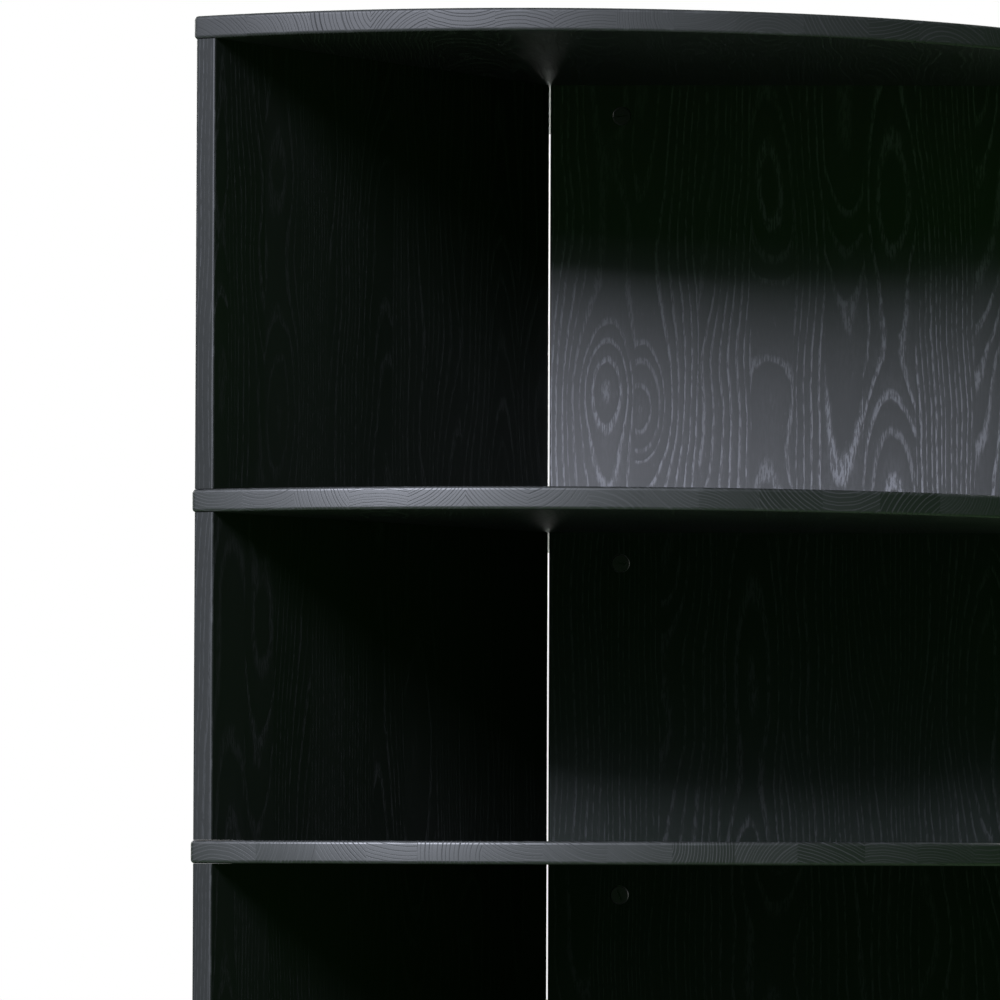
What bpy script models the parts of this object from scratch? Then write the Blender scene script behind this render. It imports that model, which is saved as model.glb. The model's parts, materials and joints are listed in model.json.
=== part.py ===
"""Open display shelf: D-shaped boards on a three-armed core of upright panels, in black-stained ash.

Frame: the origin is on the floor, on the upright line where the panels' middle planes meet. +Z is up,
+X runs along the middle panels, away from the flat back, and the cams of those panels face -Y. Metres.
"""

import math

import bmesh
import bpy
from mathutils import Matrix

# Boards: a disc cut off along one straight line, which makes the flat back.
BOARD_RADIUS = 0.500
FLAT_BACK_X = -0.2585
BOARD_THICKNESS = 0.018
BOARD_ARRIS = 0.003
ARC_STEPS = 48
BOARD_NAMES = ("bottom_board", "lower_shelf", "middle_shelf", "upper_shelf", "top_board")
TIER_CLEARS = (0.350, 0.254, 0.254, 0.350)  # from the bottom tier to the top one

# Panels: three to a tier, one third of a turn apart.
PANEL_ANGLES = {"middle": 0.0, "rear": math.radians(120), "front": math.radians(240)}
PANEL_INNER_RADIUS = 0.0058
PANEL_OUTER_RADIUS = 0.499
PANEL_THICKNESS = 0.018
PANEL_ARRIS = 0.002

# Cam fittings: a 15 mm cam in the panel's face, and a bolt from the board above whose head it grips.
CAM_RADIUS = 0.0075
CAM_DEPTH = 0.0125
CAM_DROP = 0.025  # from the panel's top edge to the cam's centre
CAM_END_DISTANCE = 0.0586  # from the panel's end to the cam's centre
CAM_MOUTH = 0.0039  # half the width of the hollow that takes the bolt's head
CAM_MOUTH_FLOOR = 0.0045
SLOT_SIZE = (0.009, 0.0030, 0.0013)  # the screwdriver slot across the cam's face
BOLT_THREAD_RADIUS = 0.0030
BOLT_THREAD_LENGTH = 0.0105
BOLT_TIP = 0.0015
BOLT_SHANK_RADIUS = 0.0037
BOLT_SHANK_FOOT = 0.0082
BOLT_NECK_RADIUS = 0.0022
BOLT_HEAD_RADIUS = 0.0034
BOLT_HEAD_TOP = 0.0030
BOLT_HEAD_FOOT = -0.0035
BOLT_HEAD_CHAMFER = 0.0010

# Glides: flat feet with a stem that is pressed into the bottom board.
GLIDE_HEIGHT = 0.005
GLIDE_RADIUS = 0.015
GLIDE_CHAMFER = 0.0010
GLIDE_STEM_RADIUS = 0.004
GLIDE_STEM_LENGTH = 0.010
GLIDE_RING_RADIUS = 0.440
GLIDE_RING_DEGREES = (0, 60, 120, 240, 300)

GAP = 0.0003  # between pieces that touch
OVERCUT = 0.002  # how far a cutter stands out of the face that it enters
CAM_SIDES = 18
BOLT_SIDES = 10
GLIDE_SIDES = 20
MERGE_DISTANCE = 0.00001
ARRIS_ANGLE = math.radians(30)  # edges sharper than this are rounded
SMOOTH_ANGLE = math.radians(35)

# Each material's colour, roughness and metallic value.
MATERIALS = {
    "black_ash": ((0.020, 0.021, 0.022), 0.45, 0.0),
    "cam_black": ((0.015, 0.015, 0.016), 0.50, 0.0),
    "bolt_steel": ((0.55, 0.55, 0.56), 0.30, 1.0),
    "glide_black": ((0.030, 0.030, 0.030), 0.60, 0.0),
}


def clear_scene():
    for obj in list(bpy.data.objects):
        bpy.data.objects.remove(obj, do_unlink=True)


def new_collection(name):
    collection = bpy.data.collections.new(name)
    bpy.context.scene.collection.children.link(collection)
    return collection


def new_material(name):
    color, roughness, metallic = MATERIALS[name]
    material = bpy.data.materials.new(name)
    material.use_nodes = True
    shader = material.node_tree.nodes["Principled BSDF"]
    shader.inputs["Base Color"].default_value = (*color, 1.0)
    shader.inputs["Roughness"].default_value = roughness
    shader.inputs["Metallic"].default_value = metallic
    material.diffuse_color = (*color, 1.0)
    return material


def new_object(name, mesh, collection, parent=None):
    obj = bpy.data.objects.new(name, mesh)
    collection.objects.link(obj)
    obj.parent = parent
    return obj


def new_cutter(name, mesh, collection):
    cutter = new_object(name, mesh, collection)
    cutter.hide_render = True
    cutter.display_type = "WIRE"
    return cutter


def box_mesh(name, low, high):
    """A box between two opposite corners."""
    mesh = bpy.data.meshes.new(name)
    bm = bmesh.new()
    bmesh.ops.create_cube(bm, size=1.0)
    for vertex in bm.verts:
        for axis in range(3):
            vertex.co[axis] = high[axis] if vertex.co[axis] > 0 else low[axis]
    bm.to_mesh(mesh)
    bm.free()
    return mesh


def round_mesh(name, rods, sides):
    """Rods that don't meet, each (low end, high end, axis number, radius), joined into one mesh."""
    mesh = bpy.data.meshes.new(name)
    bm = bmesh.new()
    for low, high, axis, radius in rods:
        length = high[axis] - low[axis]
        made = bmesh.ops.create_cone(
            bm, cap_ends=True, segments=sides, radius1=radius, radius2=radius, depth=length
        )
        if axis == 1:
            bmesh.ops.rotate(bm, verts=made["verts"], matrix=Matrix.Rotation(-math.pi / 2, 3, "X"))
        middle = [(a + b) / 2 for a, b in zip(low, high)]
        bmesh.ops.translate(bm, verts=made["verts"], vec=middle)
    bm.to_mesh(mesh)
    bm.free()
    return mesh


def turned_mesh(name, profile, sides):
    """A profile of (radius, height), from top to bottom, turned about Z with a Screw modifier."""
    outline = bpy.data.meshes.new(name + "_profile")
    points = [(radius, 0.0, height) for radius, height in profile]
    outline.from_pydata(points, [(i, i + 1) for i in range(len(points) - 1)], [])
    pattern = bpy.data.objects.new(name + "_pattern", outline)
    screw = pattern.modifiers.new("turn", "SCREW")
    screw.steps = sides
    screw.render_steps = sides
    screw.use_merge_vertices = True
    screw.merge_threshold = MERGE_DISTANCE
    return finished_mesh(pattern, name)


def finished_mesh(pattern, name):
    """The mesh of a pattern object with its modifiers applied. The pattern is removed."""
    bpy.context.scene.collection.objects.link(pattern)
    bpy.context.view_layer.update()
    graph = bpy.context.evaluated_depsgraph_get()
    mesh = bpy.data.meshes.new_from_object(pattern.evaluated_get(graph))
    mesh.name = name
    bpy.data.objects.remove(pattern, do_unlink=True)
    bm = bmesh.new()
    bm.from_mesh(mesh)
    bmesh.ops.remove_doubles(bm, verts=bm.verts, dist=MERGE_DISTANCE)
    bm.to_mesh(mesh)
    bm.free()
    return mesh


def add_arris(obj, width):
    bevel = obj.modifiers.new("arris", "BEVEL")
    bevel.width = width
    bevel.segments = 1
    bevel.limit_method = "ANGLE"
    bevel.angle_limit = ARRIS_ANGLE


def add_boolean(obj, name, cutter, operation="DIFFERENCE"):
    boolean = obj.modifiers.new(name, "BOOLEAN")
    boolean.operation = operation
    boolean.solver = "EXACT"
    boolean.object = cutter


def smooth(mesh):
    mesh.shade_smooth()
    mesh.set_sharp_from_angle(angle=SMOOTH_ANGLE)


def board_outline():
    """The points of the boards' outline: the front arc, closed by the straight back."""
    corner = math.acos(FLAT_BACK_X / BOARD_RADIUS)
    points = []
    for step in range(ARC_STEPS + 1):
        angle = -corner + 2 * corner * step / ARC_STEPS
        points.append((BOARD_RADIUS * math.cos(angle), BOARD_RADIUS * math.sin(angle)))
    return points


def board_mesh():
    """A plain board, its middle plane at height 0."""
    curve = bpy.data.curves.new("board_outline", "CURVE")
    curve.dimensions = "2D"
    curve.fill_mode = "BOTH"
    curve.extrude = BOARD_THICKNESS / 2
    points = board_outline()
    spline = curve.splines.new("POLY")
    spline.points.add(len(points) - 1)
    for point, (x, y) in zip(spline.points, points):
        point.co = (x, y, 0.0, 1.0)
    spline.use_cyclic_u = True
    return finished_mesh(bpy.data.objects.new("board_pattern", curve), "board")


def board_levels():
    """The height of each board's middle plane."""
    levels = [GLIDE_HEIGHT + BOARD_THICKNESS / 2]
    for clear in TIER_CLEARS:
        levels.append(levels[-1] + BOARD_THICKNESS + clear)
    return levels


def cam_radii():
    """The distances from the core's axis to a panel's inner and outer cam."""
    return {
        "inner": PANEL_INNER_RADIUS + CAM_END_DISTANCE,
        "outer": PANEL_OUTER_RADIUS - CAM_END_DISTANCE,
    }


def panel_mesh(height, name):
    """A panel with its foot at height 0: bored for two cams from its -Y face and two bolts from above."""
    half = PANEL_THICKNESS / 2
    low = (PANEL_INNER_RADIUS, -half, 0.0)
    high = (PANEL_OUTER_RADIUS, half, height)
    pattern = bpy.data.objects.new(name, box_mesh(name + "_blank", low, high))
    add_arris(pattern, PANEL_ARRIS)
    cam_z = height - CAM_DROP
    pockets = []
    bores = []
    for radius in cam_radii().values():
        pocket_end = CAM_DEPTH - half + GAP
        face = -half - OVERCUT
        pockets.append(((radius, face, cam_z), (radius, pocket_end, cam_z), 1, CAM_RADIUS + GAP))
        top = height + OVERCUT
        bores.append(((radius, 0.0, cam_z), (radius, 0.0, top), 2, BOLT_SHANK_RADIUS + GAP))
    pocket_cutter = new_cutter(name + "_pockets", round_mesh("pockets", pockets, CAM_SIDES), cutters)
    bore_cutter = new_cutter(name + "_bores", round_mesh("bores", bores, BOLT_SIDES), cutters)
    add_boolean(pattern, "cam_pockets", pocket_cutter)
    add_boolean(pattern, "bolt_bores", bore_cutter)
    return finished_mesh(pattern, name)


def cam_blank():
    """A cam with its centre at the origin of its panel's cross-section, its face towards -Y."""
    half = PANEL_THICKNESS / 2
    rod = ((0.0, -half, 0.0), (0.0, CAM_DEPTH - half, 0.0), 1, CAM_RADIUS)
    return round_mesh("cam_blank", [rod], CAM_SIDES)


def slot_cutter():
    width, depth, height = SLOT_SIZE
    face = -PANEL_THICKNESS / 2
    low = (-width / 2, face - OVERCUT, -height / 2)
    high = (width / 2, face + depth, height / 2)
    return new_cutter("slot", box_mesh("slot", low, high), cutters)


def cam_mesh():
    """A cam that is open at the top and back, where the bolt's head goes in."""
    low = (-CAM_MOUTH, -CAM_MOUTH, -CAM_MOUTH_FLOOR)
    high = (CAM_MOUTH, CAM_DEPTH, CAM_RADIUS + OVERCUT)
    mouth = new_cutter("cam_mouth", box_mesh("cam_mouth", low, high), cutters)
    pattern = bpy.data.objects.new("cam", cam_blank())
    add_boolean(pattern, "mouth", mouth)
    add_boolean(pattern, "slot", slot_cutter())
    return finished_mesh(pattern, "cam")


def bolt_mesh():
    """A cam bolt, upright, with the cam's centre at the origin."""
    board_face = CAM_DROP + GAP
    top = board_face + BOLT_THREAD_LENGTH
    profile = [
        (0.0, top),
        (BOLT_THREAD_RADIUS - BOLT_TIP / 2, top),
        (BOLT_THREAD_RADIUS, top - BOLT_TIP),
        (BOLT_THREAD_RADIUS, board_face - GAP),
        (BOLT_SHANK_RADIUS, board_face - 2 * GAP),
        (BOLT_SHANK_RADIUS, BOLT_SHANK_FOOT),
        (BOLT_NECK_RADIUS, BOLT_SHANK_FOOT),
        (BOLT_NECK_RADIUS, BOLT_HEAD_TOP),
        (BOLT_HEAD_RADIUS, BOLT_HEAD_TOP - BOLT_HEAD_CHAMFER),
        (BOLT_HEAD_RADIUS, BOLT_HEAD_FOOT + BOLT_HEAD_CHAMFER),
        (BOLT_NECK_RADIUS, BOLT_HEAD_FOOT),
        (0.0, BOLT_HEAD_FOOT),
    ]
    return turned_mesh("cam_bolt", profile, BOLT_SIDES)


def locked_cam_mesh(bolt):
    """A cam and its bolt, locked together as one piece."""
    helper = new_cutter("bolt_to_join", bolt, cutters)
    pattern = bpy.data.objects.new("locked_cam", cam_blank())
    add_boolean(pattern, "bolt", helper, "UNION")
    add_boolean(pattern, "slot", slot_cutter())
    return finished_mesh(pattern, "locked_cam")


def glide_mesh():
    """A glide with its underside at height 0."""
    top = GLIDE_HEIGHT - GAP
    profile = [
        (0.0, top + GLIDE_STEM_LENGTH),
        (GLIDE_STEM_RADIUS, top + GLIDE_STEM_LENGTH),
        (GLIDE_STEM_RADIUS, top),
        (GLIDE_RADIUS - GLIDE_CHAMFER, top),
        (GLIDE_RADIUS, top - GLIDE_CHAMFER),
        (GLIDE_RADIUS, GLIDE_CHAMFER),
        (GLIDE_RADIUS - GLIDE_CHAMFER, 0.0),
        (0.0, 0.0),
    ]
    return turned_mesh("glide", profile, GLIDE_SIDES)


def glide_places():
    places = [(0.0, 0.0)]
    for degrees in GLIDE_RING_DEGREES:
        angle = math.radians(degrees)
        places.append((GLIDE_RING_RADIUS * math.cos(angle), GLIDE_RING_RADIUS * math.sin(angle)))
    return places


def bolt_places():
    """Where bolts enter the underside of a board: under each panel angle, at each cam."""
    places = []
    for angle in PANEL_ANGLES.values():
        for radius in cam_radii().values():
            places.append((radius * math.cos(angle), radius * math.sin(angle)))
    return places


def bored_board(name, level, places, radius, depth):
    """A board at its level, with blind holes in its underside."""
    board = new_object(name, board_mesh(), shelf, root)
    board.location.z = level
    add_arris(board, BOARD_ARRIS)
    under = level - BOARD_THICKNESS / 2
    rods = [((x, y, under - OVERCUT), (x, y, under + depth), 2, radius) for x, y in places]
    cutter = new_cutter(name + "_holes", round_mesh(name + "_holes", rods, BOLT_SIDES), cutters)
    add_boolean(board, "holes", cutter)
    board.data.materials.append(ash)


def make_boards(levels):
    for name, level in zip(BOARD_NAMES, levels):
        if name == BOARD_NAMES[0]:
            depth = GLIDE_STEM_LENGTH + GAP
            bored_board(name, level, glide_places(), GLIDE_STEM_RADIUS + GAP, depth)
        else:
            depth = BOLT_THREAD_LENGTH + 2 * GAP
            bored_board(name, level, bolt_places(), BOLT_THREAD_RADIUS + GAP, depth)


def place_on_arm(name, mesh, angle, radius, height):
    """A piece on the arm of the core that points at this angle."""
    piece = new_object(name, mesh, shelf, root)
    piece.location = (radius * math.cos(angle), radius * math.sin(angle), height)
    piece.rotation_euler.z = angle


def make_tiers(levels):
    """Each tier's three panels and their fittings. An outer cam is one piece with its bolt."""
    bolt = bolt_mesh()
    cam = cam_mesh()
    locked_cam = locked_cam_mesh(bolt.copy())
    for mesh, material in ((bolt, steel), (cam, cam_black), (locked_cam, cam_black)):
        mesh.materials.append(material)
        smooth(mesh)
    panels = {}
    radii = cam_radii()
    for tier, clear in enumerate(TIER_CLEARS, start=1):
        height = clear - 2 * GAP
        if clear not in panels:
            panels[clear] = panel_mesh(height, f"panel_for_tier_{tier}")
            panels[clear].materials.append(ash)
        foot = levels[tier - 1] + BOARD_THICKNESS / 2 + GAP
        cam_height = foot + height - CAM_DROP
        for side, angle in PANEL_ANGLES.items():
            place_on_arm(f"{side}_panel_{tier}", panels[clear], angle, 0.0, foot)
            place_on_arm(f"cam_inner_{side}_{tier}", cam, angle, radii["inner"], cam_height)
            place_on_arm(f"cam_bolt_inner_{side}_{tier}", bolt, angle, radii["inner"], cam_height)
            place_on_arm(f"cam_outer_{side}_{tier}", locked_cam, angle, radii["outer"], cam_height)


def make_glides():
    mesh = glide_mesh()
    mesh.materials.append(glide_black)
    smooth(mesh)
    for number, (x, y) in enumerate(glide_places(), start=1):
        glide = new_object(f"glide_{number}", mesh, shelf, root)
        glide.location = (x, y, 0.0)


clear_scene()
shelf = new_collection("display_shelf")
cutters = new_collection("cutters")
root = new_object("core_axis", None, shelf)
ash = new_material("black_ash")
cam_black = new_material("cam_black")
steel = new_material("bolt_steel")
glide_black = new_material("glide_black")
board_heights = board_levels()
make_boards(board_heights)
make_tiers(board_heights)
make_glides()
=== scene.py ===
"""The looks of the open display shelf: boards and panels of black-stained ash, cam caps, bolts and glides.

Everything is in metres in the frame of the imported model: +Z up, the core's axis on Z, the flat back at -X.
The shelf stands on a pale floor in a white studio.
"""

import json
import math
import random

import bmesh
import bpy
from mathutils import Matrix, Vector

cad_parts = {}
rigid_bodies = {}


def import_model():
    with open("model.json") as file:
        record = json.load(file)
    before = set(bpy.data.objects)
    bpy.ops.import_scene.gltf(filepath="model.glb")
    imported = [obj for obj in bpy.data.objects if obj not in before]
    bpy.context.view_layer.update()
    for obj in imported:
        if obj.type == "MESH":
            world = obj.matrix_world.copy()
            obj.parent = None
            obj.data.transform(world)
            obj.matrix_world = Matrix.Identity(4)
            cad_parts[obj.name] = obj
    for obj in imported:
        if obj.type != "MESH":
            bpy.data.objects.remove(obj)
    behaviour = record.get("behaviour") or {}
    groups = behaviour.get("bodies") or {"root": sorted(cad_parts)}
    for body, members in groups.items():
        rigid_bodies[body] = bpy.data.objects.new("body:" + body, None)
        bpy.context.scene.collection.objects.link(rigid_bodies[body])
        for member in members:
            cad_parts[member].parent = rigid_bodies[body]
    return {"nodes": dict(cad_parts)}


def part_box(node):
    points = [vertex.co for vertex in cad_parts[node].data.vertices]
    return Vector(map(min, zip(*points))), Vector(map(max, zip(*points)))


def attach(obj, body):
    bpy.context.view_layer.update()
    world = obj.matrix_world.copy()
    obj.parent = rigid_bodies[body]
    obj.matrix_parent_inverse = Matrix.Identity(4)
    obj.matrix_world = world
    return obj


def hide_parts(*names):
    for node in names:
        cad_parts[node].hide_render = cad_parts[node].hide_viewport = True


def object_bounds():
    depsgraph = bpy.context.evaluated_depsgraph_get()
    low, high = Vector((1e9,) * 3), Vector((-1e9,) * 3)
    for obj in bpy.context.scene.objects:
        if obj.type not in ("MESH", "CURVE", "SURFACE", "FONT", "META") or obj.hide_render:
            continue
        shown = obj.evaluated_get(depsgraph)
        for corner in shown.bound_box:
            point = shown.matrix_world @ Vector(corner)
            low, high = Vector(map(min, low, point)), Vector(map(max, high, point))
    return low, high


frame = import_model()
cad_low, cad_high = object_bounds()

BOARDS = ("bottom_board", "lower_shelf", "middle_shelf", "upper_shelf", "top_board")
TIERS = (1, 2, 3, 4)
PANEL_ANGLES = {"middle": 0.0, "rear": math.radians(120), "front": math.radians(240)}
TOP = cad_high.z
FLAT_BACK_X = cad_low.x
BOARD_RADIUS = cad_high.x

# Camera: a long lens at the height of the middle shelf. Sides are along X, and heights are under the top.
CAMERA_DISTANCE = 7.380
CAMERA_SIDE = 0.2306
CAMERA_BELOW_TOP = 0.648
AIM_SIDE = -0.0350
AIM_BELOW_TOP = 0.3592
CAMERA_LENS = 323.56
CAMERA_SENSOR = 36.0
CAMERA_ROLL = 0.0036
CAMERA_REACH = 200.0

# The world, as everything but the camera sees it.
WORLD_DIM = (0.026, 0.120, 0.015)
WORLD_LOW = (0.36, 0.60, 0.33)  # straight down, where a pale floor would be
WORLD_PALES_AT = -0.25  # the upward part of the direction where WORLD_DIM starts to turn into WORLD_LOW
WORLD_PALE_AT = -0.80  # and where it has turned

# Lights: places, sizes and powers in watts.
LIGHT_AIM = (0.0, -0.1, 1.0)
KEY_PLACE = (-1.715, -3.943, 3.05)
KEY_SIZE = (1.1, 1.25)
KEY_POWER = 705.0
SPILL_SIZE = (1.5, 1.7)
SPILL_POWER = 80.0
KEY_COLOR = (0.94, 0.97, 1.14)
BACKDROP_PLACE = (0.0, 2.8, 1.6)
BACKDROP_AIM = (0.0, 0.0, 1.0)
BACKDROP_SIZE = (5.0, 3.2)
BACKDROP_POWER = 150.0
BACK_SIZE = (1.6, 1.6)
BACK_LEFT_PLACE = (-3.2, 2.6, 2.6)
BACK_LEFT_POWER = 160.0
BACK_RIGHT_PLACE = (2.0, 4.3, 1.9)
BACK_RIGHT_POWER = 190.0
# The lights at either side that catch the caps' rims: each one's tiers and place.
CAP_LIGHTS = {"cap_left": ("4", (-3.0, -0.9, 1.9)), "cap_right": ("321", (3.0, -0.9, 1.2))}
CAP_LIGHT_SIZE = (0.3, 2.2)
CAP_LIGHT_POWER = 150.0
OVERHEAD_HEIGHT = 5.0
OVERHEAD_STRENGTH = 4.1
OVERHEAD_ANGLE = math.radians(70)

# Floor.
FLOOR_HALF = 18.0
FLOOR_COLORS = ((0.49, 0.465, 0.49), (0.52, 0.495, 0.52))
FLOOR_WAVES = 3.0
FLOOR_ROUGHNESS = 0.8

# Shapes.
ARC_STEPS = 240
ROUND_STEPS = 48
BOARD_ARRIS = 0.0029
PANEL_ARRIS = 0.0020
ARRIS_STEPS = 4
SHARP_ANGLE = math.radians(30)
SMOOTH_ANGLE = math.radians(35)
MERGE = 0.00001
SEAT_GAP = 0.0002  # how far a panel is nearer to the boards above and below it than in the plain model
POCKET_RADIUS = 0.0077
POCKET_DEPTH = 0.0125
CAP_RADIUS = 0.0075
CAP_CHAMFER = 0.0007
CAP_SLOT = (0.009, 0.002, 0.0012)  # the screwdriver slot's length, twice its depth, and its width
CAP_TURN = 1.5  # the most that a slot is turned from level, in radians
CAP_STANDS = {4: 0.0004, 3: 0.0005, 2: 0.0006}  # how far the middle panels' inner caps stand out, by tier

# Staves, in metres and radians.
STAVE_WIDTH = 0.046
STAVE_SPREAD = (0.85, 1.15)  # the narrowest and the widest stave, in STAVE_WIDTHs
BOARD_RINGS = (0.0021, 0.0036)  # the least and the greatest ring spacing
PANEL_RINGS = (0.0030, 0.0052)
PITH_TURN = 1.35  # how far round from the face's normal a pith line may lie
PITH_FAR = (0.030, 0.080)
PITH_LEAN = 0.06
RING_PHASES = 9.0
PANEL_SEEDS = 100  # the panels' random seeds start here, past those of the boards

# How the rings stray from even circles round the pith line.
RING_WANDER = 0.030
RING_SWAY = 0.012
RING_JITTER = 0.0012
RING_UNEVENNESS = 1.4  # in ring spacings
FAINTEST_RING = 0.45  # where the strongest is 1
KNOT_HALF_WIDTH = 0.028
KNOT_HALF_LENGTH = 0.040
PHASE_SHIFT = 37.0  # takes each stave to its own part of the noise

# Noise waves to the metre, across the grain and along it.
WANDER_WAVES = (7.0, 5.0)
SWAY_WAVES = 8.0  # only along
SWAY_SHIFT = 9.0  # takes the sway to another part of the noise than the wander
JITTER_WAVES = (120.0, 55.0)
CLOUD_WAVES = (16.0, 7.0)
UNEVEN_WAVES = 0.55  # to the ring
# And across the grain, through it and along it.
STROKE_WAVES = (700.0, 700.0, 120.0)
FIBRE_WAVES = (1600.0, 1600.0, 22.0)
RUB_WAVES = (60.0, 60.0, 60.0)

# Wood colours and roughness.
WOOD_DARK = (0.0022, 0.0023, 0.0022)
WOOD_LIGHT = (0.0060, 0.0062, 0.0063)
PORE_COLOR = (0.0540, 0.0547, 0.0590)
WORN_COLOR = (0.0160, 0.0162, 0.0165)
PORE_ROUGHNESS = 0.62
ROW_ROUGHNESS = 0.95
NARROW_ROUGHER = 0.13  # how much rougher a panel's narrow upright sides are than its faces
STAIN_ROUGHER = 0.10  # how much the stain's clouds change the roughness of faces
SAWN_ROUGHER = 0.16  # and of sawn ends
WOOD_BUMP = 0.00012
FIBRE_HEIGHT = 0.20  # in depths of a pore

# Plastic and metal.
SPECKLE = 0.15  # how much the colour varies
SPECKLE_WAVES = 900.0
SMEAR_WAVES = 60.0
ROUGHNESS_SPREAD = 0.06
MOULDED_BUMP = 0.0001

# How far a face's normal lies along an axis, from 0 to 1.
FLAT = 0.97  # on a flat side, and not on a rounded edge
UPWARD = 0.5  # more up or down than sideways
LEVEL = 0.05  # sideways, as on the middle of a board's edge
ENDWAYS = 0.7  # along the panel, as on its narrow sides


# ---------------------------------------------------------------- node helpers


class Nodes:
    """Short calls for building a material's node tree."""

    def __init__(self, material):
        material.use_nodes = True
        self.tree = material.node_tree
        self.tree.nodes.clear()
        self.output = self.tree.nodes.new("ShaderNodeOutputMaterial")
        self.shader = self.tree.nodes.new("ShaderNodeBsdfPrincipled")
        self.link(self.shader.outputs["BSDF"], self.output.inputs["Surface"])

    def link(self, source, target):
        self.tree.links.new(source, target)

    def put(self, value, socket):
        """A number, a colour or another node's output goes into a socket."""
        if isinstance(value, bpy.types.NodeSocket):
            self.link(value, socket)
        elif isinstance(value, (tuple, list)) and len(value) == 3 and socket.type == "RGBA":
            socket.default_value = (*value, 1.0)
        else:
            socket.default_value = value

    def math(self, operation, *values):
        node = self.tree.nodes.new("ShaderNodeMath")
        node.operation = operation
        for value, socket in zip(values, node.inputs):
            self.put(value, socket)
        return node.outputs[0]

    def attribute(self, name, output="Vector"):
        node = self.tree.nodes.new("ShaderNodeAttribute")
        node.attribute_name = name
        return node.outputs[output]

    def split(self, vector):
        node = self.tree.nodes.new("ShaderNodeSeparateXYZ")
        self.put(vector, node.inputs[0])
        return node.outputs[0], node.outputs[1], node.outputs[2]

    def join(self, x, y, z):
        node = self.tree.nodes.new("ShaderNodeCombineXYZ")
        for value, socket in zip((x, y, z), node.inputs):
            self.put(value, socket)
        return node.outputs[0]

    def scaled(self, parts, scales):
        """A vector of parts that are each multiplied by a scale."""
        return self.join(*(self.math("MULTIPLY", part, scale) for part, scale in zip(parts, scales)))

    def centred(self, value, size):
        """A value round 0.5 becomes one round 0, size times as large."""
        return self.math("MULTIPLY", self.math("SUBTRACT", value, 0.5), size)

    def noise(self, vector, scale=1.0, detail=2.0, roughness=0.5):
        node = self.tree.nodes.new("ShaderNodeTexNoise")
        self.put(vector, node.inputs["Vector"])
        for name, value in (("Scale", scale), ("Detail", detail), ("Roughness", roughness)):
            self.put(value, node.inputs[name])
        return node.outputs["Fac"]

    def ramp(self, value, *stops):
        """stops are (position, grey)."""
        node = self.tree.nodes.new("ShaderNodeValToRGB")
        elements = node.color_ramp.elements
        while len(elements) < len(stops):
            elements.new(0.5)
        for element, (position, grey) in zip(elements, stops):
            element.position = position
            element.color = (grey, grey, grey, 1.0)
        self.put(value, node.inputs[0])
        return node.outputs["Color"]

    def mix(self, factor, a, b):
        node = self.tree.nodes.new("ShaderNodeMix")
        node.data_type = "FLOAT"
        self.put(factor, node.inputs["Factor"])
        self.put(a, node.inputs["A"])
        self.put(b, node.inputs["B"])
        return node.outputs["Result"]

    def mix_color(self, factor, a, b):
        node = self.tree.nodes.new("ShaderNodeMix")
        node.data_type = "RGBA"
        self.put(factor, node.inputs["Factor"])
        self.put(a, node.inputs[6])
        self.put(b, node.inputs[7])
        return node.outputs[2]

    def remap(self, value, low, high, to_low, to_high, smooth=True):
        node = self.tree.nodes.new("ShaderNodeMapRange")
        node.interpolation_type = "SMOOTHSTEP" if smooth else "LINEAR"
        for item, socket in zip((value, low, high, to_low, to_high), node.inputs):
            self.put(item, socket)
        return node.outputs["Result"]

    def bump(self, height, strength, distance):
        node = self.tree.nodes.new("ShaderNodeBump")
        self.put(height, node.inputs["Height"])
        self.put(strength, node.inputs["Strength"])
        self.put(distance, node.inputs["Distance"])
        self.link(node.outputs["Normal"], self.shader.inputs["Normal"])

    def set(self, **values):
        for name, value in values.items():
            self.put(value, self.shader.inputs[name.replace("_", " ")])


# ------------------------------------------------------------------- materials


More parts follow.
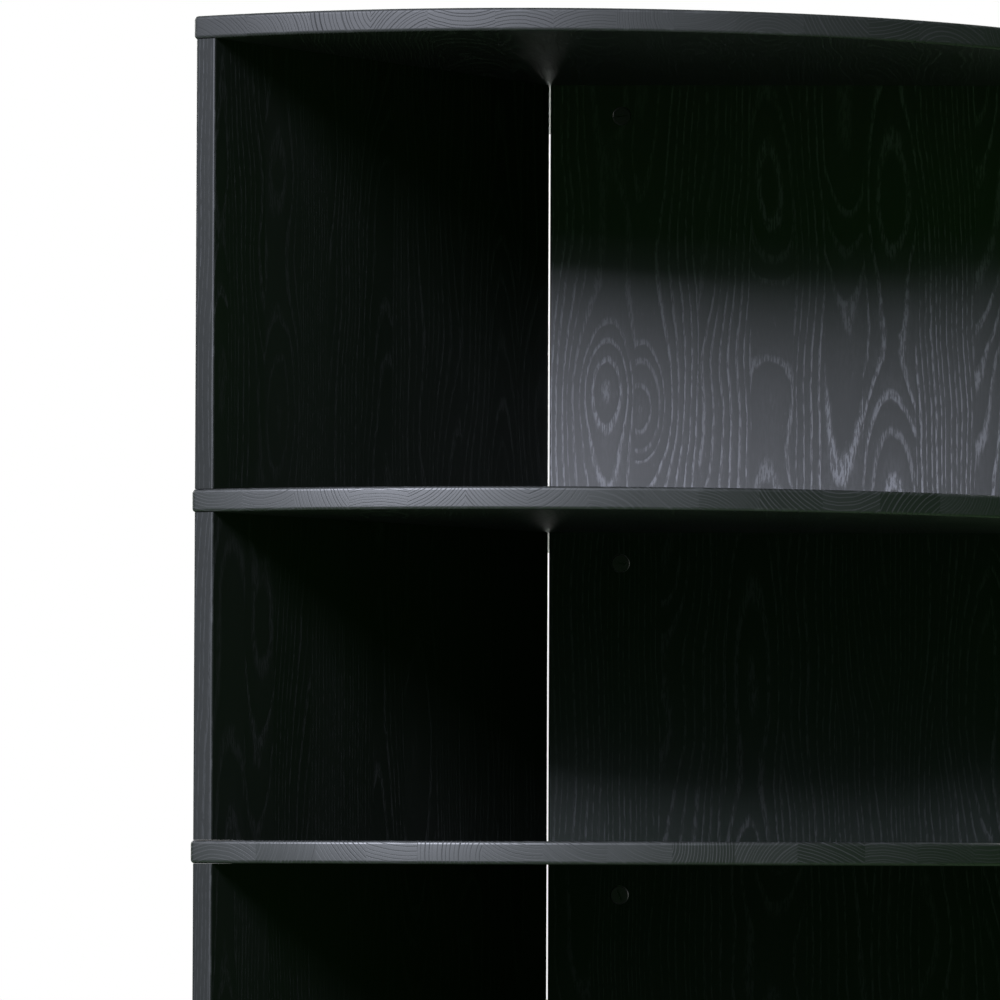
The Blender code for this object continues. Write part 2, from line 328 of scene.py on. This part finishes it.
def ring_pattern(n):
    """Each point's place in its year ring, from 0 to 1, how strong that ring is, and where the point is.

    The place, the ring's strength, the stave's tone, across, depth and along come from four attributes.
    grain is (across, depth, along) in metres. pith is the stave's pith line: (across, depth, lean). rings is
    (ring spacing, phase, tone) and knot is (across, along, height), the place and the size of a swelling.
    """
    across, depth, along = n.split(n.attribute("grain"))
    pith_across, pith_depth, lean = n.split(n.attribute("pith"))
    spacing, phase, tone = n.split(n.attribute("rings"))
    knot_across, knot_along, knot_height = n.split(n.attribute("knot"))
    own = n.math("MULTIPLY", phase, PHASE_SHIFT)

    side_waves, run_waves = WANDER_WAVES
    place = n.join(own, n.math("MULTIPLY", across, side_waves), n.math("MULTIPLY", along, run_waves))
    wander = n.centred(n.noise(place, 1.0, 1.0, 0.4), RING_WANDER)
    place = n.join(n.math("ADD", own, SWAY_SHIFT), 0.0, n.math("MULTIPLY", along, SWAY_WAVES))
    sway = n.centred(n.noise(place, 1.0, 1.0, 0.5), RING_SWAY)
    side_waves, run_waves = JITTER_WAVES
    place = n.join(n.math("MULTIPLY", across, side_waves), own, n.math("MULTIPLY", along, run_waves))
    jitter = n.centred(n.noise(place, 1.0, 2.0, 0.5), RING_JITTER)

    knot_side = n.math("DIVIDE", n.math("SUBTRACT", across, knot_across), KNOT_HALF_WIDTH)
    knot_run = n.math("DIVIDE", n.math("SUBTRACT", along, knot_along), KNOT_HALF_LENGTH)
    reach = n.math("ADD", n.math("MULTIPLY", knot_side, knot_side), n.math("MULTIPLY", knot_run, knot_run))
    knot = n.math("MULTIPLY", knot_height, n.math("EXPONENT", n.math("MULTIPLY", reach, -1.0)))

    side = n.math("ADD", n.math("SUBTRACT", across, pith_across), sway)
    down = n.math("ADD", n.math("SUBTRACT", depth, pith_depth), n.math("MULTIPLY", lean, along))
    down = n.math("ADD", n.math("ADD", down, wander), knot)
    radius = n.math("SQRT", n.math("ADD", n.math("MULTIPLY", side, side), n.math("MULTIPLY", down, down)))
    years = n.math("DIVIDE", n.math("ADD", radius, jitter), spacing)
    uneven = n.noise(n.join(n.math("MULTIPLY", years, UNEVEN_WAVES), own, 0.0), 1.0, 1.0, 0.5)
    years = n.math("ADD", n.math("ADD", years, phase), n.math("MULTIPLY", uneven, RING_UNEVENNESS))
    year = n.tree.nodes.new("ShaderNodeTexWhiteNoise")
    year.noise_dimensions = "2D"
    n.put(n.join(n.math("FLOOR", years), own, 0.0), year.inputs["Vector"])
    strength = n.remap(year.outputs["Value"], 0.0, 1.0, FAINTEST_RING, 1.0, smooth=False)
    return n.math("FRACT", years), strength, tone, across, depth, along


def ash_material(name, cut_axis, roughness, end_roughness, specular, paleness=1.0, shade_green=0.0):
    """Black-stained ash with open pores.

    On the long grain the rings' pores are pale broken strokes, paler with a larger paleness. On end grain,
    where the face looks along cut_axis, they are thin dull lines. The green added to the stain (the last
    argument) is a painted tint of the shade on the pieces that use it.
    """
    material = bpy.data.materials.new(name)
    n = Nodes(material)
    ring, strength, tone, across, depth, along = ring_pattern(n)

    # Long grain: the band starts sharply and thins out, and short strokes break it up.
    wide = n.ramp(ring, (0.0, 0.5), (0.04, 1.0), (0.18, 0.90), (0.31, 0.10), (0.94, 0.0), (1.0, 0.4))
    strokes = n.noise(n.scaled((across, depth, along), STROKE_WAVES), 1.0, 2.0, 0.6)
    broken = n.remap(strokes, 0.43, 0.56, 0.18, 1.0)
    stray = n.remap(strokes, 0.62, 0.80, 0.0, 0.20)
    pores = n.math("MAXIMUM", n.math("MULTIPLY", n.math("MULTIPLY", wide, strength), broken), stray)

    # End grain: narrow rows of pores.
    thin = n.ramp(ring, (0.0, 0.8), (0.04, 1.0), (0.13, 0.8), (0.24, 0.0), (0.92, 0.0), (1.0, 0.6))
    rows = n.math("MULTIPLY", thin, strength)
    facing = n.tree.nodes.new("ShaderNodeTexCoord").outputs["Normal"]
    ends = n.math("ABSOLUTE", n.split(facing)[cut_axis])
    ends = n.remap(ends, 0.30, 0.62, 0.0, 1.0)

    # The stain: fine fibres, and clouds that differ from stave to stave. A stave's tone lightens it, and on
    # the top tier's middle panel the tones are set to paint a gradient of light across the panel.
    fibre = n.noise(n.scaled((across, depth, along), FIBRE_WAVES), 1.0, 2.0, 0.6)
    side_waves, run_waves = CLOUD_WAVES
    place = n.join(n.math("MULTIPLY", across, side_waves), tone, n.math("MULTIPLY", along, run_waves))
    cloud = n.noise(place, 1.0, 2.0, 0.5)
    stain = n.math("ADD", n.math("MULTIPLY", tone, 0.5), n.math("MULTIPLY", cloud, 0.5))
    # The green added here is a painted tint of the shade.
    dark, light = ((red, green + shade_green, blue + shade_green / 3) for red, green, blue in (WOOD_DARK, WOOD_LIGHT))
    wood = n.mix_color(n.math("MULTIPLY", stain, fibre), dark, light)
    rubbing = n.noise(n.scaled((across, depth, along), RUB_WAVES), 1.0, 3.0, 0.6)
    rub = n.remap(rubbing, 0.50, 0.75, 0.0, 0.8)
    worn = n.math("MULTIPLY", n.attribute("wear", "Fac"), rub)
    faces = n.math("MULTIPLY", n.math("MULTIPLY", pores, paleness), n.math("SUBTRACT", 1.0, ends))
    n.set(Base_Color=n.mix_color(faces, n.mix_color(worn, wood, WORN_COLOR), PORE_COLOR))
    sides = n.math("ADD", roughness, n.math("MULTIPLY", n.attribute("narrow", "Fac"), NARROW_ROUGHER))
    plain = n.math("ADD", sides, n.centred(stain, STAIN_ROUGHER))
    sawn = n.math("ADD", end_roughness, n.centred(stain, SAWN_ROUGHER))
    long_rough = n.mix(pores, plain, PORE_ROUGHNESS)
    end_rough = n.mix(rows, sawn, ROW_ROUGHNESS)
    n.set(Roughness=n.mix(ends, long_rough, end_rough))
    n.put(specular, n.shader.inputs["Specular IOR Level"])
    dents = n.mix(ends, pores, rows)
    n.bump(n.math("SUBTRACT", n.math("MULTIPLY", fibre, FIBRE_HEIGHT), dents), 0.5, WOOD_BUMP)
    return material


def plain_material(name, color, roughness, metallic=0.0, specular=0.5):
    """Moulded plastic or plated metal with a fine uneven surface."""
    material = bpy.data.materials.new(name)
    n = Nodes(material)
    place = n.tree.nodes.new("ShaderNodeTexCoord").outputs["Object"]
    grain = n.noise(place, SPECKLE_WAVES, 3.0, 0.6)
    smear = n.noise(place, SMEAR_WAVES, 2.0, 0.5)
    darker = tuple(part * (1 - SPECKLE) for part in color)
    lighter = tuple(min(1.0, part * (1 + SPECKLE)) for part in color)
    n.set(Base_Color=n.mix_color(smear, darker, lighter))
    n.set(Roughness=n.remap(smear, 0.2, 0.8, roughness - ROUGHNESS_SPREAD, roughness + ROUGHNESS_SPREAD))
    n.put(metallic, n.shader.inputs["Metallic"])
    n.put(specular, n.shader.inputs["Specular IOR Level"])
    n.bump(grain, 0.15, MOULDED_BUMP)
    return material


# ------------------------------------------------------------------ geometry


class Stave:
    """One glued stave: where it ends, its pith line, its rings and a knot if it has one."""

    def __init__(self, end, pith, rings, knot=(0.0, 0.0, 0.0)):
        self.end = end
        self.pith = pith
        self.rings = rings
        self.knot = knot


def random_staves(start, end, seed, spacing):
    """Staves from start to end, all cut differently. spacing is the least and the greatest ring spacing."""
    rng = random.Random(seed)
    staves = []
    place = start
    while place < end:
        step = STAVE_WIDTH * rng.uniform(*STAVE_SPREAD)
        centre = place + step / 2
        angle = rng.choice((-1, 1)) * rng.uniform(0.0, PITH_TURN)
        far = rng.uniform(*PITH_FAR)
        above = rng.choice((-1, 1))
        lean = rng.uniform(-PITH_LEAN, PITH_LEAN)
        pith = (centre + far * math.sin(angle), above * far * math.cos(angle), lean)
        rings = (rng.uniform(*spacing), rng.uniform(0.0, RING_PHASES), rng.uniform(0.0, 1.0))
        place += step
        staves.append(Stave(place, pith, rings))
    return staves


def cut_staves(bm, staves):
    """Cuts the piece at the glue lines, which run along its second and third axes."""
    for stave in staves[:-1]:
        geometry = bm.verts[:] + bm.edges[:] + bm.faces[:]
        bmesh.ops.bisect_plane(bm, geom=geometry, plane_co=(stave.end, 0, 0), plane_no=(1, 0, 0))


def store_wood(piece, turn, staves, upright):
    """Writes the wood attributes. turn takes the mesh's points to (across, depth, along).

    wear is 1 on the rounded edges of an upright panel or a flat board. narrow is 1 on a panel's narrow sides.
    """
    mesh = piece.data
    for name, kind, domain in (
        ("grain", "FLOAT_VECTOR", "POINT"),
        ("pith", "FLOAT_VECTOR", "FACE"),
        ("rings", "FLOAT_VECTOR", "FACE"),
        ("knot", "FLOAT_VECTOR", "FACE"),
        ("wear", "FLOAT", "FACE"),
        ("narrow", "FLOAT", "FACE"),
    ):
        mesh.attributes.new(name, kind, domain)
    layers = mesh.attributes
    for vertex, value in zip(mesh.vertices, layers["grain"].data):
        value.vector = turn @ vertex.co
    for face in mesh.polygons:
        across = (turn @ face.center).x
        stave = next((item for item in staves if across < item.end), staves[-1])
        for name in ("pith", "rings", "knot"):
            layers[name].data[face.index].vector = getattr(stave, name)
        x, y, z = (abs(part) for part in face.normal)
        rounded = (z < UPWARD and max(x, y) < FLAT) if upright else LEVEL < z < FLAT
        layers["wear"].data[face.index].value = 1.0 if rounded else 0.0
        layers["narrow"].data[face.index].value = 1.0 if upright and x > ENDWAYS else 0.0


def local_box(node, angle):
    """The node's box in its panel's own axes: along the panel, through it and up."""
    unturn = Matrix.Rotation(-angle, 4, "Z")
    obj = frame["nodes"][node]
    points = [unturn @ (obj.matrix_world @ v.co) for v in obj.data.vertices]
    low = Vector([min(p[axis] for p in points) for axis in range(3)])
    high = Vector([max(p[axis] for p in points) for axis in range(3)])
    return low, high


def new_piece(name, bm, material):
    mesh = bpy.data.meshes.new(name)
    bm.to_mesh(mesh)
    bm.free()
    piece = bpy.data.objects.new(name, mesh)
    bpy.context.scene.collection.objects.link(piece)
    mesh.materials.append(material)
    return piece


def finish_piece(piece, node):
    """Even shading, and the piece's place in the model."""
    piece.data.shade_smooth()
    piece.data.set_sharp_from_angle(angle=SMOOTH_ANGLE)
    normals = piece.modifiers.new("normals", "WEIGHTED_NORMAL")
    normals.keep_sharp = True
    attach(piece, "root")
    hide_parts(node)


def round_edges(bm, edges, width):
    bmesh.ops.bevel(
        bm, geom=edges, offset=width, segments=ARRIS_STEPS, profile=0.5, affect="EDGES", clamp_overlap=True
    )


def in_order(bm):
    """The same mesh with its points and faces sorted, because a bevel leaves them in no fixed order."""
    points = sorted(bm.verts, key=lambda vert: tuple(vert.co))
    number = {vert: index for index, vert in enumerate(points)}
    outlines = []
    for face in bm.faces:
        outline = [number[vert] for vert in face.verts]
        first = outline.index(min(outline))
        outlines.append(outline[first:] + outline[:first])
    ordered = bmesh.new()
    corners = [ordered.verts.new(vert.co) for vert in points]
    for outline in sorted(outlines):
        ordered.faces.new([corners[index] for index in outline])
    bm.free()
    return ordered


def make_board(node, staves, material):
    low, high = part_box(node)
    corner = math.acos(FLAT_BACK_X / BOARD_RADIUS)
    bm = bmesh.new()
    rim = []
    for step in range(ARC_STEPS + 1):
        angle = corner * (2 * step / ARC_STEPS - 1)
        rim.append(bm.verts.new((BOARD_RADIUS * math.cos(angle), BOARD_RADIUS * math.sin(angle), low.z)))
    raised = bmesh.ops.extrude_face_region(bm, geom=[bm.faces.new(rim)])
    top = [item for item in raised["geom"] if isinstance(item, bmesh.types.BMVert)]
    bmesh.ops.translate(bm, verts=top, vec=(0.0, 0.0, high.z - low.z))
    bmesh.ops.recalc_face_normals(bm, faces=bm.faces)
    round_edges(bm, [e for e in bm.edges if e.calc_face_angle() > SHARP_ANGLE], BOARD_ARRIS)
    cut_staves(bm, staves)
    piece = new_piece("wood_" + node, in_order(bm), material)
    # Staves run from front to back: across is X, depth is measured from the board's middle, along is Y.
    turn = Matrix(((1, 0, 0, 0), (0, 0, 1, -(low.z + high.z) / 2), (0, 1, 0, 0), (0, 0, 0, 1)))
    store_wood(piece, turn, staves, upright=False)
    finish_piece(piece, node)


def rod(radius, length, place):
    """A mesh of a round rod along Y, with its middle at a place."""
    bm = bmesh.new()
    spin = Matrix.Translation(place) @ Matrix.Rotation(math.radians(90), 4, "X")
    bmesh.ops.create_cone(
        bm, cap_ends=True, segments=ROUND_STEPS, radius1=radius, radius2=radius, depth=length, matrix=spin
    )
    return bm


def subtract(piece, bm):
    """Cuts a mesh out of a piece."""
    cutter = new_piece("cutter", bm, piece.data.materials[0])
    boolean = piece.modifiers.new("cut", "BOOLEAN")
    boolean.operation = "DIFFERENCE"
    boolean.solver = "EXACT"
    boolean.object = cutter
    bpy.context.view_layer.update()
    cut = bpy.data.meshes.new_from_object(piece.evaluated_get(bpy.context.evaluated_depsgraph_get()))
    piece.modifiers.clear()
    old = piece.data
    piece.data = cut
    bpy.data.meshes.remove(old)
    bpy.data.objects.remove(cutter, do_unlink=True)


def cam_place(node, angle):
    """The middle of a cam's face in its panel's own axes."""
    low, high = local_box(node, angle)
    return Vector(((low.x + high.x) / 2, low.y, low.z + (high.x - low.x) / 2))


def make_cap(node, angle, stand, turned, material):
    """A round cam cap that stands out of the panel's face. Its screwdriver slot is turned from level."""
    place = cam_place(node, angle)
    face = place.y - stand
    bm = rod(CAP_RADIUS, POCKET_DEPTH + stand, (place.x, face + (POCKET_DEPTH + stand) / 2, place.z))
    rim = [e for e in bm.edges if all(abs(v.co.y - face) < MERGE for v in e.verts)]
    round_edges(bm, rim, CAP_CHAMFER)
    piece = new_piece("cap_" + node, bm, material)
    slot = bmesh.new()
    bmesh.ops.create_cube(slot, size=1.0)
    sizes = Matrix.Diagonal((*CAP_SLOT, 1.0))
    spin = Matrix.Translation((place.x, face, place.z)) @ Matrix.Rotation(turned, 4, "Y") @ sizes
    bmesh.ops.transform(slot, verts=slot.verts, matrix=spin)
    subtract(piece, slot)
    piece.data.transform(Matrix.Rotation(angle, 4, "Z"))
    # The wood round a cap neither mirrors it nor loses any of the world's light to it.
    piece.visible_glossy = False
    piece.visible_diffuse = False
    finish_piece(piece, node)


def make_panel(node, side, angle, staves, material):
    """A panel between its boards. It is built along +X and then turned to its angle."""
    low, high = local_box(node, angle)
    bm = bmesh.new()
    bmesh.ops.create_cube(bm, size=1.0)
    for vertex in bm.verts:
        vertex.co.x = high.x if vertex.co.x > 0 else low.x
        vertex.co.y = high.y if vertex.co.y > 0 else low.y
        vertex.co.z = high.z + SEAT_GAP if vertex.co.z > 0 else low.z - SEAT_GAP
    upright = [e for e in bm.edges if abs(e.verts[0].co.z - e.verts[1].co.z) > MERGE]
    round_edges(bm, upright, PANEL_ARRIS)
    piece = new_piece("wood_" + node, bm, material)
    for kind in ("cam_inner", "cam_outer"):
        subtract(piece, rod(POCKET_RADIUS, 2 * POCKET_DEPTH, cam_place(f"{kind}_{side}_{node[-1]}", angle)))
    bm = bmesh.new()
    bm.from_mesh(piece.data)
    cut_staves(bm, staves)
    bm.to_mesh(piece.data)
    bm.free()
    # Staves run upright: across is along the panel, depth through it, along is the height over its middle.
    store_wood(piece, Matrix.Translation((0.0, 0.0, -(low.z + high.z) / 2)), staves, upright=True)
    piece.data.transform(Matrix.Rotation(angle, 4, "Z"))
    finish_piece(piece, node)


# --------------------------------------------------------------------- studio


def add_light(name, place, aim, size, power, color=(1.0, 1.0, 1.0)):
    data = bpy.data.lights.new(name, "AREA")
    data.shape = "RECTANGLE"
    data.size, data.size_y = size
    data.energy = power
    data.color = color
    light = bpy.data.objects.new(name, data)
    bpy.context.scene.collection.objects.link(light)
    light.location = place
    light.rotation_mode = "QUATERNION"
    light.rotation_quaternion = (Vector(aim) - Vector(place)).to_track_quat("-Z", "Y")
    light.visible_camera = False
    return light


def make_world():
    """White where the camera looks past the piece. Everything else sees a dark studio that is paler below."""
    world = bpy.data.worlds.new("studio")
    bpy.context.scene.world = world
    world.use_nodes = True
    tree = world.node_tree
    tree.nodes.clear()
    output = tree.nodes.new("ShaderNodeOutputWorld")
    path = tree.nodes.new("ShaderNodeLightPath")
    seen = tree.nodes.new("ShaderNodeBackground")
    seen.inputs["Color"].default_value = (1.0, 1.0, 1.0, 1.0)
    dim = tree.nodes.new("ShaderNodeBackground")
    place = tree.nodes.new("ShaderNodeTexCoord")
    axes = tree.nodes.new("ShaderNodeSeparateXYZ")
    below = tree.nodes.new("ShaderNodeMapRange")
    for value, socket in zip((WORLD_PALES_AT, WORLD_PALE_AT, 0.0, 1.0), below.inputs[1:5]):
        socket.default_value = value
    shade = tree.nodes.new("ShaderNodeMix")
    shade.data_type = "RGBA"
    shade.inputs[6].default_value = (*WORLD_DIM, 1.0)
    shade.inputs[7].default_value = (*WORLD_LOW, 1.0)
    mix = tree.nodes.new("ShaderNodeMixShader")
    for source, target in (
        (place.outputs["Generated"], axes.inputs[0]),
        (axes.outputs[2], below.inputs[0]),
        (below.outputs[0], shade.inputs[0]),
        (shade.outputs[2], dim.inputs["Color"]),
        (path.outputs["Is Camera Ray"], mix.inputs[0]),
        (dim.outputs[0], mix.inputs[1]),
        (seen.outputs[0], mix.inputs[2]),
        (mix.outputs[0], output.inputs["Surface"]),
    ):
        tree.links.new(source, target)


def make_floor():
    mesh = bpy.data.meshes.new("floor")
    bm = bmesh.new()
    bmesh.ops.create_grid(bm, x_segments=1, y_segments=1, size=FLOOR_HALF)
    bm.to_mesh(mesh)
    bm.free()
    floor = bpy.data.objects.new("floor", mesh)
    bpy.context.scene.collection.objects.link(floor)
    material = bpy.data.materials.new("floor_paint")
    n = Nodes(material)
    place = n.tree.nodes.new("ShaderNodeTexCoord").outputs["Object"]
    n.set(Base_Color=n.mix_color(n.noise(place, FLOOR_WAVES, 3.0), *FLOOR_COLORS))
    n.set(Roughness=FLOOR_ROUGHNESS)
    mesh.materials.append(material)
    # The world's lower part lights the piece as a floor would, so this one only shows.
    floor.visible_glossy = False
    floor.visible_diffuse = False
    floor.visible_shadow = False
    return floor


def make_lights(floor):
    """The piece has its own lights, the caps have two more, and the floor has a wide overhead one."""
    pieces = bpy.data.collections.new("lit_pieces")
    ground = bpy.data.collections.new("lit_floor")
    ground.objects.link(floor)
    for obj in bpy.context.scene.objects:
        if obj.type == "MESH" and obj is not floor:
            pieces.objects.link(obj)
    key = add_light("key", KEY_PLACE, LIGHT_AIM, KEY_SIZE, KEY_POWER, KEY_COLOR)
    spill = add_light("key_spill", KEY_PLACE, LIGHT_AIM, SPILL_SIZE, SPILL_POWER, KEY_COLOR)
    backdrop = add_light("backdrop", BACKDROP_PLACE, BACKDROP_AIM, BACKDROP_SIZE, BACKDROP_POWER)
    back_left = add_light("back_left", BACK_LEFT_PLACE, LIGHT_AIM, BACK_SIZE, BACK_LEFT_POWER)
    back_right = add_light("back_right", BACK_RIGHT_PLACE, LIGHT_AIM, BACK_SIZE, BACK_RIGHT_POWER)
    for light in (key, spill, backdrop, back_left, back_right):
        light.light_linking.receiver_collection = pieces
    for name, (tiers, place) in CAP_LIGHTS.items():
        caps = bpy.data.collections.new(name + "_lit")
        for obj in bpy.context.scene.objects:
            if obj.name.startswith("cap_cam") and obj.name[-1] in tiers:
                caps.objects.link(obj)
        rim = add_light(name, place, LIGHT_AIM, CAP_LIGHT_SIZE, CAP_LIGHT_POWER)
        rim.light_linking.receiver_collection = caps
        rim.light_linking.blocker_collection = caps
    overhead = bpy.data.lights.new("overhead", "SUN")
    overhead.energy = OVERHEAD_STRENGTH
    overhead.angle = OVERHEAD_ANGLE
    lamp = bpy.data.objects.new("overhead", overhead)
    bpy.context.scene.collection.objects.link(lamp)
    lamp.location = (0.0, 0.0, OVERHEAD_HEIGHT)
    lamp.light_linking.receiver_collection = ground


def make_camera():
    data = bpy.data.cameras.new("camera")
    data.lens = CAMERA_LENS
    data.sensor_width = CAMERA_SENSOR
    data.clip_end = CAMERA_REACH
    camera = bpy.data.objects.new("camera", data)
    bpy.context.scene.collection.objects.link(camera)
    place = Vector((CAMERA_SIDE, -CAMERA_DISTANCE, TOP - CAMERA_BELOW_TOP))
    aim = Vector((AIM_SIDE, 0.0, TOP - AIM_BELOW_TOP))
    look = (aim - place).to_track_quat("-Z", "Y")
    camera.location = place
    camera.rotation_mode = "QUATERNION"
    camera.rotation_quaternion = look @ Matrix.Rotation(CAMERA_ROLL, 3, "Z").to_quaternion()
    bpy.context.scene.camera = camera


make_camera()
make_world()
bpy.context.scene.view_settings.view_transform = "Standard"

# The figured staves of the top tier's middle panel: lines, loops round a knot and arches. Their tones fall
# from 0.90 by the core to 0.10 at the outer end, so the stain is lighter and rougher by the core: a painted
# gradient of light, brighter by the core and darker towards the outer end.
FIGURED_PANEL = [
    Stave(0.076, (0.055, 0.034, -0.020), (0.0040, 0.30, 0.90), (0.055, -0.070, 0.010)),
    Stave(0.128, (0.080, 0.032, 0.010), (0.0046, 0.10, 0.85), (0.078, -0.095, 0.014)),
    Stave(0.171, (0.112, 0.036, 0.045), (0.0040, 0.50, 0.70)),
    Stave(0.206, (0.188, 0.036, -0.004), (0.0044, 0.70, 0.60), (0.188, -0.017, -0.009)),
    Stave(0.232, (0.262, 0.022, 0.010), (0.0046, 0.20, 0.50)),
    Stave(0.263, (0.249, 0.030, 0.042), (0.0042, 0.42, 0.40)),
    Stave(0.306, (0.287, 0.026, -0.036), (0.0042, 0.85, 0.30)),
    Stave(0.355, (0.245, 0.041, -0.090), (0.0037, 0.35, 0.15)),
    Stave(0.392, (0.352, 0.034, 0.060), (0.0044, 0.60, 0.10)),
]
# The staves at the front left of the upper shelf, whose end grain shows in its edge.
FIGURED_SHELF = [
    Stave(-0.218, (-0.238, 0.040, 0.0), (0.0026, 0.10, 0.60)),
    Stave(-0.177, (-0.200, 0.040, 0.0), (0.0024, 0.60, 0.50)),
    Stave(-0.134, (-0.110, 0.016, 0.0), (0.0026, 0.30, 0.45)),
    Stave(-0.088, (-0.111, -0.080, 0.0), (0.0024, 0.80, 0.55)),
    Stave(-0.044, (-0.100, 0.046, 0.0), (0.0026, 0.20, 0.70)),
    Stave(0.005, (0.016, 0.046, 0.0), (0.0026, 0.50, 0.65)),
    Stave(0.051, (-0.010, 0.040, 0.0), (0.0025, 0.90, 0.50)),
]
FIGURED = {"middle_panel_4": FIGURED_PANEL, "upper_shelf": FIGURED_SHELF}
# The boards' staves end along Y, the panels' along Z. The lower shelf and the bottom board are like the
# middle shelf, and the lower panels are like those of the third tier.
ALONG_Y = 1
ALONG_Z = 2
# Each board has its own copy of the ash. The lower boards' copies have a stronger sheen than the top board's,
# so that their edges come out brighter: painted light for how the light falls on each board.
BOARD_WOODS = {
    "top_board": ash_material(
        "ash_top_board", ALONG_Y, roughness=0.48, end_roughness=0.60, specular=0.42, paleness=0.5
    ),
    "upper_shelf": ash_material(
        "ash_upper_shelf", ALONG_Y, roughness=0.46, end_roughness=0.50, specular=0.57, paleness=0.5
    ),
    "middle_shelf": ash_material(
        "ash_middle_shelf", ALONG_Y, roughness=0.46, end_roughness=0.50, specular=0.60, paleness=0.5
    ),
}
# The front panels' copy of the ash has a weaker sheen and dimmer pores: painted shade, standing in for the
# light that only grazes them.
FRONT_WOOD = ash_material(
    "ash_front_panels", ALONG_Z, roughness=0.42, end_roughness=0.60, specular=0.30, paleness=0.15
)
# The top tier's copy has the palest pores and a strong sheen, which is painted light. The lower tiers' copy
# has a weak sheen and a green tint, which is painted shade.
PANEL_WOODS = {
    4: ash_material(
        "ash_top_tier", ALONG_Z, roughness=0.42, end_roughness=0.60, specular=0.46, paleness=0.95
    ),
    3: ash_material(
        "ash_lower_tiers", ALONG_Z,
        roughness=0.40, end_roughness=0.60, specular=0.21, paleness=0.5, shade_green=0.003,
    ),
}


def staves_for(node, start, seed, spacing):
    """The staves written out above, if there are any, and random ones for the rest of the piece."""
    figured = FIGURED.get(node, [])
    if figured:
        start = figured[-1].end
    return figured + random_staves(start, BOARD_RADIUS, seed, spacing)


CAP_PLASTIC = plain_material("cap_plastic", (0.003, 0.0034, 0.0032), roughness=0.30, specular=0.28)
for seed, node in enumerate(BOARDS):
    staves = staves_for(node, FLAT_BACK_X, seed, BOARD_RINGS)
    make_board(node, staves, BOARD_WOODS.get(node, BOARD_WOODS["middle_shelf"]))
for number, (side, angle) in enumerate(PANEL_ANGLES.items()):
    for tier in TIERS:
        node = f"{side}_panel_{tier}"
        staves = staves_for(node, 0.0, PANEL_SEEDS + 10 * number + tier, PANEL_RINGS)
        wood = FRONT_WOOD if side == "front" else PANEL_WOODS.get(tier, PANEL_WOODS[3])
        make_panel(node, side, angle, staves, wood)
        for kind in ("inner", "outer"):
            stand = CAP_STANDS.get(tier, 0.0) if (side, kind) == ("middle", "inner") else 0.0
            turned = random.Random(number + 10 * tier).uniform(-CAP_TURN, CAP_TURN)
            make_cap(f"cam_{kind}_{side}_{tier}", angle, stand, turned, CAP_PLASTIC)

# The bolts and glides keep the plain model's shapes.
BOLT_STEEL = plain_material("bolt_steel", (0.55, 0.55, 0.56), roughness=0.30, metallic=1.0)
GLIDE_PLASTIC = plain_material("glide_plastic", (0.030, 0.030, 0.031), roughness=0.55)
for name, obj in frame["nodes"].items():
    if name.startswith("cam_bolt"):
        obj.data.materials[0] = BOLT_STEEL
    elif name.startswith("glide"):
        obj.data.materials[0] = GLIDE_PLASTIC

make_lights(make_floor())
